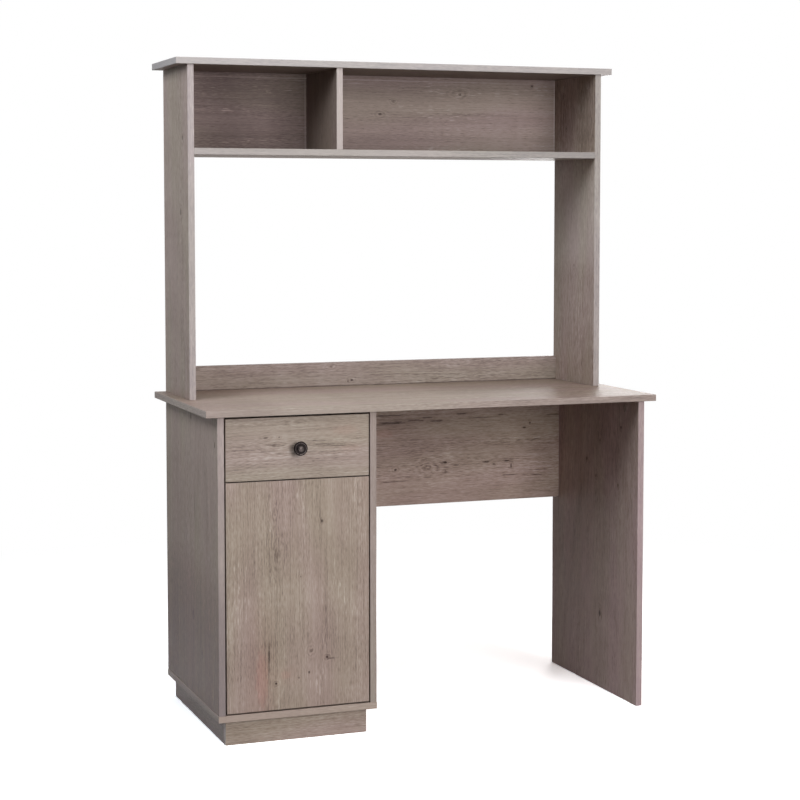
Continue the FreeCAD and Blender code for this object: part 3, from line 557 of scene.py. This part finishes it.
# Broad bands across the shelf, paler in the middle and darker at the right, and a paler, cooler underside:
# painted light and painted shade.
shelf_painted_shading = ((0.0000, 0.0, 0.150, 3.0, -0.14), (0.3900, 0.0, 0.230, 3.0, 0.17))
shelf_print = oak(
    "shelf print",
    "X",
    "Y",
    (39.9, -0.11, 0.5),
    shelf_painted_shading,
    under=(1.12, 1.14, 1.18, 1),
    tape=paint(178, 181, 182),
)
dress(shelf_print, "hutch_shelf", "cupboard_shelf")
hutch_top_print = oak("hutch top print", "X", "Y", (44.0, -0.16, 0.5), under=hutch_top_painted_shade, tape=tape_white)
dress(hutch_top_print, "hutch_top")
rail_marks = rail_knots + rail_foot_painted_shadow
# The rail is tinted darker and greyer: partly a greyer print, partly painted shade under the hutch.
rail_print = oak("rail print", "X", "Z", (47.7, -0.78, 0.5), rail_marks, tint=(0.82, 0.84, 0.88, 1), bold=1.4)
dress(rail_print, "hutch_rail")

# ---------------------------------------------------------------- thin backs
# Hardboard with the oak paper on its front and its own brown felted fibres on the rear, nailed over the back
# edges of the pedestal and of the cubbies.
back_knots = (
    (0.2406, 1.4689, 0.0080, 0.0045, 0.40, 1.0),
    (0.4399, 1.4934, 0.0024, 0.0024, 0.85, 0.3),
    (0.0279, 1.4160, 0.0060, 0.0030, 0.35, 0.8),
    (0.0633, 1.4476, 0.0040, 0.0030, 0.25, 0.8),
    (0.2800, 1.4180, 0.1300, 0.0060, 0.14, 0.0),
    (-0.0400, 1.4900, 0.0300, 0.0014, -0.20, 0.0),
)
# Painted shade: darker over the left cubby, and a little along the top under the hutch top.
back_painted_shade = (
    (-0.3400, 1.4150, 0.2200, 0.1600, 0.27),
    (0.1200, 1.5000, 0.5000, 0.0500, 0.06),
)
# Painted light: thin pale lines along the top and beside the divider and the right upright, where light from
# behind shows through the joints.
back_painted_light_lines = (
    (-0.0640, 1.4985, 0.6000, 0.0009, -0.30),
    (0.5022, 1.4100, 0.0012, 0.2000, -0.35),
    (-0.1660, 1.4100, 0.0012, 0.2000, -0.35),
)
fibre_brown, fibre_dark = paint(186, 152, 116), paint(146, 116, 88)


def raw_rear(material, axis, sign):
    """Bare hardboard wherever the board faces one way, under the print that the material already has."""
    tree = material.node_tree
    shader = tree.nodes["Principled BSDF"]
    where = add_node(tree, "TexCoord").outputs
    facing = add_node(tree, "SeparateXYZ", [where["Normal"]]).outputs[axis]
    rear = calc(tree, "GREATER_THAN", calc(tree, "MULTIPLY", facing, sign), 0.7)
    felt = noise(tree, where["Object"], (150, 150, 150), 5, 0.75)
    cloud = noise(tree, where["Object"], (9, 9, 9), 3)
    shade = total(tree, [around(tree, felt, 2.2), cloud])
    bare = mix(tree, shade, fibre_dark, fibre_brown)
    printed = shader.inputs["Base Color"].links[0].from_socket
    plug(tree, shader, {"Base Color": mix(tree, rear, printed, bare)})
    return material


back_marks = back_knots + back_painted_shade + back_painted_light_lines
hutch_back_print = oak(
    "hutch back print", "X", "Z", (52.3, -1.40, 0.5), back_marks, tint=(0.97, 0.97, 1.06, 1), bold=0.55
)
dress(raw_rear(hutch_back_print, "Y", 1), "hutch_back")
dress(raw_rear(oak("pedestal back print", "X", "Z", (57.1, -0.5, 0.5)), "Y", 1), "pedestal_back")

# ---------------------------------------------------------------- drawer
# The front is a board with its grain lying. The box behind it is thinner board in a plain pale paper, with a
# hardboard bottom in grooves.
drawer_knots = (
    (-0.4093, 0.6814, 0.0060, 0.0026, 0.32, 0.6),
    (-0.3790, 0.6812, 0.0030, 0.0020, 0.25, 0.6),
    (-0.3850, 0.6640, 0.0200, 0.0060, 0.12, 0.8),
    (-0.4480, 0.6552, 0.0200, 0.0015, 0.22, 0.0),
    (-0.4120, 0.6505, 0.0260, 0.0014, 0.20, 0.0),
    (-0.3760, 0.6458, 0.0200, 0.0015, 0.22, 0.0),
    (-0.2500, 0.6578, 0.0520, 0.0018, 0.27, 0.0),
    (-0.2750, 0.6620, 0.0300, 0.0014, 0.25, 0.0),
    (-0.2396, 0.6720, 0.0100, 0.0016, -0.22, 0.0),
    (-0.1940, 0.6723, 0.0100, 0.0014, 0.25, 0.0),
    (-0.3300, 0.7142, 0.0140, 0.0050, 0.04, 0.5),
)
drawer_blushes = ((-0.2250, 0.6920, 0.0380, 0.0130, 0.40), (-0.2150, 0.6520, 0.0300, 0.0080, 0.35))
# The door's and drawer front's edges are taped dark, so that the reveals show as deep lines: painted shade.
box_pale, box_grey, shut_edge_painted_shade = paint(196, 186, 172), paint(178, 167, 153), paint(96, 86, 82)
drawer_print = oak(
    "drawer front print",
    "X",
    "Z",
    (61.4, -0.66, 0.5),
    drawer_knots,
    drawer_blushes,
    tint=(1.02, 1.04, 1.06, 1),
    tape=shut_edge_painted_shade,
)
dress(drawer_print, "drawer_front")


def plain_finish(name, first, second, cloud, rough, metallic=0.0, emboss=(200, 200, 200), depth=0.0001):
    """A made surface with a second shade in clouds, a roughness that wanders, and a fine emboss."""
    material = bpy.data.materials.new(name)
    material.use_nodes = True
    tree = material.node_tree
    place = add_node(tree, "TexCoord").outputs["Object"]
    clouds = noise(tree, place, cloud, 3, 0.6)
    texture = noise(tree, place, emboss, 3, 0.65)
    colour = mix(tree, ramp(tree, clouds, 0.32, 0.68), first, second)
    uneven = total(tree, [rough, around(tree, clouds, 0.16), around(tree, texture, 0.18)])
    bump = add_node(tree, "Bump", {"Strength": 0.4, "Distance": depth, "Height": texture}).outputs[0]
    sockets = {"Base Color": colour, "Roughness": uneven, "Normal": bump, "Metallic": metallic}
    plug(tree, tree.nodes["Principled BSDF"], sockets)
    return material


box_paper = plain_finish("drawer paper", box_pale, box_grey, (300, 7, 300), 0.5, emboss=(700, 25, 700))
dress(box_paper, "drawer_left_side", "drawer_right_side")
back_paper = plain_finish("drawer back paper", box_pale, box_grey, (7, 300, 300), 0.5, emboss=(25, 700, 700))
dress(back_paper, "drawer_back")
dress(raw_rear(oak("drawer bottom print", "X", "Y", (66.0, 0.1, 0.5)), "Z", -1), "drawer_bottom")

# ---------------------------------------------------------------- door
# One board with its grain standing: a pale strip, a darker one down its right half, a rosy patch low on the
# left, a fine crack and a few small knots.
door_knots = (
    (0.1834, -0.2694, 0.0030, 0.0030, 0.90, 1.0),
    (0.1798, -0.2600, 0.0014, 0.0090, 0.40, 0.0),
    (0.1328, -0.3881, 0.0030, 0.0030, 0.85, 0.9),
    (0.1525, -0.3117, 0.0026, 0.0020, 0.42, 0.7),
    (0.1419, -0.3350, 0.0030, 0.0024, 0.28, 0.5),
    (0.2003, -0.3063, 0.0050, 0.0040, 0.22, 1.0),
    (0.4909, -0.2806, 0.0035, 0.0020, 0.80, 0.5),
    (0.5113, -0.3890, 0.0060, 0.0030, 0.20, 1.0),
    (0.3853, -0.4012, 0.0060, 0.0030, 0.12, 0.6),
    (0.4202, -0.3830, 0.0140, 0.0080, 0.08, 0.6),
    (0.5104, -0.3326, 0.0040, 0.0050, 0.20, 0.0),
    (0.3692, -0.3307, 0.0025, 0.0020, 0.28, 0.6),
)
door_streaks = (
    (0.1905, -0.4043, 0.0400, 0.0012, 0.45),
    (0.2010, -0.4040, 0.0100, 0.0020, 0.30),
    (0.2600, -0.2640, 0.1300, 0.0180, 0.07),
    (0.5200, -0.2635, 0.0900, 0.0110, -0.08),
    (0.5100, -0.2853, 0.0300, 0.0015, 0.11),
    (0.5061, -0.4170, 0.0100, 0.0015, 0.25),
    (0.3240, -0.4014, 0.0200, 0.0012, -0.16),
    (0.3000, -0.2720, 0.1700, 0.0060, 0.08),
)
door_blushes = ((0.1450, -0.4200, 0.0800, 0.0180, 0.95), (0.1503, -0.3669, 0.0120, 0.0150, 0.60))
door_marks = door_knots + door_streaks
door_print = oak(
    "door print",
    "Z",
    "X",
    (70.2, 0.335, 0.5),
    door_marks,
    door_blushes,
    tint=(1.03, 1.02, 1.02, 1),
    tape=shut_edge_painted_shade,
    bold=0.9,
)
dress(door_print, "door_panel")

# ---------------------------------------------------------------- knob
# A die-cast round knob in dark antique bronze, rubbed paler on the rolled rim and on the domed button. A
# machine screw through the drawer front holds it.
bronze_dark, bronze_brown, bronze_rubbed = paint(14, 8, 8), paint(24, 17, 16), paint(104, 95, 92)
ring_radius, ring_half, button_radius, button_worn = 0.0122, 0.0008, 0.0072, 0.42


def low(node):
    """The lowest corner of a CAD node at rest."""
    return Vector(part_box(node)[0])


def high(node):
    """The highest corner of a CAD node at rest."""
    return Vector(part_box(node)[1])


def middle(node):
    """The middle of a CAD node's box at rest."""
    return (low(node) + high(node)) / 2


def rubbed_bronze():
    """Dark bronze, rubbed pale along the rim's crest and less so on the button."""
    material = plain_finish("antique bronze", bronze_dark, bronze_brown, (300, 300, 300), 0.34, 0.85)
    tree = material.node_tree
    shader = tree.nodes["Principled BSDF"]
    place = add_node(tree, "TexCoord").outputs["Object"]
    front_middle = middle("drawer_front")
    knob_axis = (front_middle.x, 0, front_middle.z)
    flat = add_node(tree, "VectorMath", [place, (1, 0, 1)], operation="MULTIPLY").outputs[0]
    out = add_node(tree, "VectorMath", [flat, knob_axis], operation="DISTANCE").outputs["Value"]
    off_crest = calc(tree, "ABSOLUTE", calc(tree, "SUBTRACT", out, ring_radius))
    crest = ramp(tree, off_crest, ring_half, ring_half / 3)
    button = ramp(tree, out, button_radius, button_radius * 0.8, 0.0, button_worn)
    patchy = ramp(tree, noise(tree, place, (260, 260, 260), 3, 0.6), 0.30, 0.62, 0.35, 1.0)
    rubbed = calc(tree, "MULTIPLY", calc(tree, "MAXIMUM", crest, button), patchy)
    base = shader.inputs["Base Color"].links[0].from_socket
    plug(tree, shader, {"Base Color": mix(tree, rubbed, base, bronze_rubbed)})
    return material


dress(rubbed_bronze(), "drawer_knob")

# ---------------------------------------------------------------- cams, bolts, dowels and nails
# Zinc die-castings and plated steel, let into the boards, and fluted beech dowels. Only a few cams and the
# nail heads show.
zinc = plain_finish("zinc plate", paint(196, 196, 192), paint(170, 172, 168), (90, 90, 90), 0.34, 0.9)
dress(zinc, "cam_locks", "cam_bolts", "drawer_cams", "drawer_bolts", "back_nails", "knob_screw")
beech_pale, beech_brown = paint(206, 172, 128), paint(186, 148, 104)
beech = plain_finish("beech", beech_pale, beech_brown, (400, 400, 12), 0.6, emboss=(900, 900, 30))
dress(beech, "dowels")

# ---------------------------------------------------------------- plinth blocks
# Sawn softwood blocks, left rough, one in each corner of the plinth. They are screwed up into the pedestal's
# bottom.
pine_pale, pine_brown = paint(214, 178, 128), paint(190, 148, 98)
pine = plain_finish("sawn softwood", pine_pale, pine_brown, (220, 220, 9), 0.7, emboss=(600, 600, 90))
dress(pine, "plinth_blocks")
dress(zinc, "plinth_block_screws")

# ---------------------------------------------------------------- screws
# Countersunk wood screws with a cross recess, zinc plated and driven flush. Each size is made once and copied
# to every place that it is driven in.
screw_sides, tip_share = 24, 0.1
recess_reach, recess_width, recess_depth = 1.15, 0.26, 1.2


def cross_screw(head, head_depth, shank, length):
    """One screw that points down, with the face of its head at the origin. head and shank are radii."""
    bpy.ops.object.select_all(action="DESELECT")
    bpy.ops.mesh.primitive_circle_add(vertices=screw_sides, radius=head, fill_type="NGON")
    made = bpy.context.object
    bpy.ops.object.mode_set(mode="EDIT")
    bpy.ops.mesh.select_all(action="SELECT")
    straight = length - head_depth - shank
    for drop, narrower in ((head_depth, shank / head), (straight, 1.0), (shank, tip_share)):
        bpy.ops.mesh.extrude_region_move(TRANSFORM_OT_translate={"value": (0, 0, -drop)})
        bpy.ops.transform.resize(value=(narrower, narrower, 1))
    bpy.ops.mesh.select_all(action="SELECT")
    bpy.ops.mesh.normals_make_consistent(inside=False)
    bpy.ops.object.mode_set(mode="OBJECT")
    for turn in (0, 90):
        bpy.ops.mesh.primitive_cube_add(size=1, rotation=(0, 0, math.radians(turn)))
        blade = bpy.context.object
        blade.scale = (head * recess_reach, head * recess_width, head_depth * recess_depth)
        bpy.ops.object.transform_apply(rotation=True, scale=True)
        bpy.ops.object.select_all(action="DESELECT")
        made.select_set(True)
        bpy.context.view_layer.objects.active = made
        recess = made.modifiers.new("recess", "BOOLEAN")
        recess.operation, recess.solver, recess.object = "DIFFERENCE", "EXACT", blade
        bpy.ops.object.modifier_apply(modifier="recess")
        bpy.data.objects.remove(blade)
    return made


def drive(name, body, node, size, spots):
    """Copies of one screw at (place, way), joined into one piece that stands for a CAD node."""
    pattern = cross_screw(*size)
    copies = []
    for place, way in spots:
        copy = pattern.copy()
        copy.data = pattern.data.copy()
        bpy.context.collection.objects.link(copy)
        copy.location = place
        copy.rotation_euler = Vector(way).to_track_quat("-Z", "Y").to_euler()
        copies.append(copy)
    bpy.data.objects.remove(pattern)
    bpy.ops.object.select_all(action="DESELECT")
    for copy in copies:
        copy.select_set(True)
    bpy.context.view_layer.objects.active = copies[0]
    if len(copies) > 1:
        bpy.ops.object.join()
    joined = bpy.context.object
    bpy.ops.object.transform_apply(location=True, rotation=True, scale=True)
    joined.name = name
    joined.data.materials.append(zinc)
    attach(joined, body)
    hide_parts(node)


right, left, front, up = (1, 0, 0), (-1, 0, 0), (0, -1, 0), (0, 0, 1)
long_screw, box_screw = (0.0046, 0.0032, 0.0024, 0.048), (0.0036, 0.0024, 0.0018, 0.036)
end_reach, divider_reach, rail_pitch, box_rises = 0.1675, 0.072, 0.276, (0.025, 0.077)
rail_columns = [rail_pitch * step for step in (-1.5, -0.5, 0.5, 1.5)]
end_screws = [
    (board.x, board.y + step, low("pedestal_bottom").z)
    for board in (middle("left_end"), middle("pedestal_side"))
    for step in (-end_reach, end_reach)
]
top_screws = [(x, middle("hutch_rail").y, low("desk_top").z) for x in rail_columns]
divider, shelf_low = middle("hutch_divider"), low("hutch_shelf").z
shelf_screws = [(divider.x, divider.y + step, shelf_low) for step in (-divider_reach, divider_reach)]
up_spots = [(place, up) for place in end_screws + top_screws + shelf_screws]
drive("long_screws", "carcass", "panel_screws", long_screw, up_spots)
box_y, box_low = middle("drawer_back").y, low("drawer_back").z
box_faces = ((high("drawer_right_side").x, left), (low("drawer_left_side").x, right))
box_spots = [((x, box_y, box_low + rise), way) for x, way in box_faces for rise in box_rises]
drive("box_screws", "drawer", "drawer_screws", box_screw, box_spots)

# ---------------------------------------------------------------- shelf pins
# Nickel-plated spoon pins in bored holes in the cupboard's sides. The loose shelf only rests on them.
nickel = plain_finish("nickel plate", paint(206, 202, 196), paint(184, 180, 174), (60, 60, 60), 0.24, 0.95)
dress(nickel, "shelf_pins")

# ---------------------------------------------------------------- drawer runners
# Rolled steel rails in white epoxy coat, screwed to the pedestal's sides and to the drawer's. Nylon rollers
# turn on riveted axles at the front of the pedestal's rails and at the back of the drawer's.
epoxy_white, epoxy_grey = paint(226, 225, 220), paint(214, 212, 206)
epoxy = plain_finish("white epoxy coat", epoxy_white, epoxy_grey, (40, 40, 40), 0.38, emboss=(900, 900, 900))
nylon = plain_finish("nylon", paint(226, 223, 214), paint(208, 204, 194), (120, 120, 120), 0.45)
dress(epoxy, "pedestal_runner_left", "pedestal_runner_right", "drawer_runner_left", "drawer_runner_right")
dress(nylon, "front_roller_left", "front_roller_right", "rear_roller_left", "rear_roller_right")
runner_steel, rail_rise, slider_rise = 0.001, 0.012, 0.008
rail_screw, rail_steps = (0.0032, 0.0020, 0.0018, 0.013), (0.060, 0.2175, 0.375)
slider_screw, slider_steps = (0.0028, 0.0016, 0.0016, 0.011), (0.025, 0.1755, 0.326)
rail, slider = low("pedestal_runner_left"), low("drawer_runner_left")
rail_places = [(rail.y + step, rail.z + rail_rise) for step in rail_steps]
slider_places = [(slider.y + step, slider.z + slider_rise) for step in slider_steps]
rail_faces = ((high("pedestal_runner_right").x - runner_steel, right), (rail.x + runner_steel, left))
slider_faces = (
    (high("drawer_right_side").x + runner_steel, left),
    (low("drawer_left_side").x - runner_steel, right),
)
rail_spots = [((x, *place), way) for x, way in rail_faces for place in rail_places]
slider_spots = [((x, *place), way) for x, way in slider_faces for place in slider_places]
drive("rail_screws", "carcass", "pedestal_runner_screws", rail_screw, rail_spots)
drive("slider_screws", "drawer", "drawer_runner_screws", slider_screw, slider_spots)

# ---------------------------------------------------------------- hinges
# Concealed hinges in nickel-plated steel: a cup let into the door, a cranked arm on a pin, and a wing plate
# screwed to the left end.
hinge_reach, plate_steel, plate_line, cup_setback = 0.1608, 0.0016, 0.0102, 0.0225
plate_screw, plate_half = (0.0040, 0.0014, 0.0020, 0.012), 0.016
cup_screw, cup_half = (0.0034, 0.0016, 0.0017, 0.011), 0.024
dress(nickel, "hinge_arms", "hinge_plates", "hinge_cups")
dress(zinc, "hinge_pins")
hinge_heights = [middle("door_panel").z + step for step in (-hinge_reach, hinge_reach)]
plate_place = low("hinge_plates") + Vector((plate_steel, plate_line, 0))
plate_heights = [z + step for z in hinge_heights for step in (-plate_half, plate_half)]
plate_spots = [((plate_place.x, plate_place.y, z), left) for z in plate_heights]
drive("plate_screws", "carcass", "hinge_plate_screws", plate_screw, plate_spots)
cup_x, cup_y = low("door_panel").x + cup_setback, high("hinge_cups").y
cup_heights = [z + step for z in hinge_heights for step in (-cup_half, cup_half)]
drive("cup_screws", "door", "hinge_cup_screws", cup_screw, [((cup_x, cup_y, z), front) for z in cup_heights])

# ---------------------------------------------------------------- push latch
# A moulded grey case screwed to the pedestal's side, its plunger with a magnet tip, and a steel strike on the
# door.
grey_moulding = plain_finish("grey moulding", paint(128, 128, 126), paint(112, 112, 111), (80, 80, 80), 0.5)
dress(grey_moulding, "latch_case", "latch_plunger")
dress(nickel, "latch_strike")
ear_screw, ear_thick, ear_line, ear_half = (0.0030, 0.0018, 0.0016, 0.012), 0.0025, 0.028, 0.0115
ear_x, ear_y = high("latch_case").x - ear_thick, low("latch_case").y + ear_line
ear_spots = [((ear_x, ear_y, middle("latch_case").z + step), right) for step in (-ear_half, ear_half)]
drive("ear_screws", "carcass", "latch_screws", ear_screw, ear_spots)
strike_screw = (0.0028, 0.0009, 0.0015, 0.011)
strike = middle("latch_strike")
strike_spots = [((strike.x, high("latch_strike").y, strike.z), front)]
drive("strike_fixing", "door", "strike_screw", strike_screw, strike_spots)
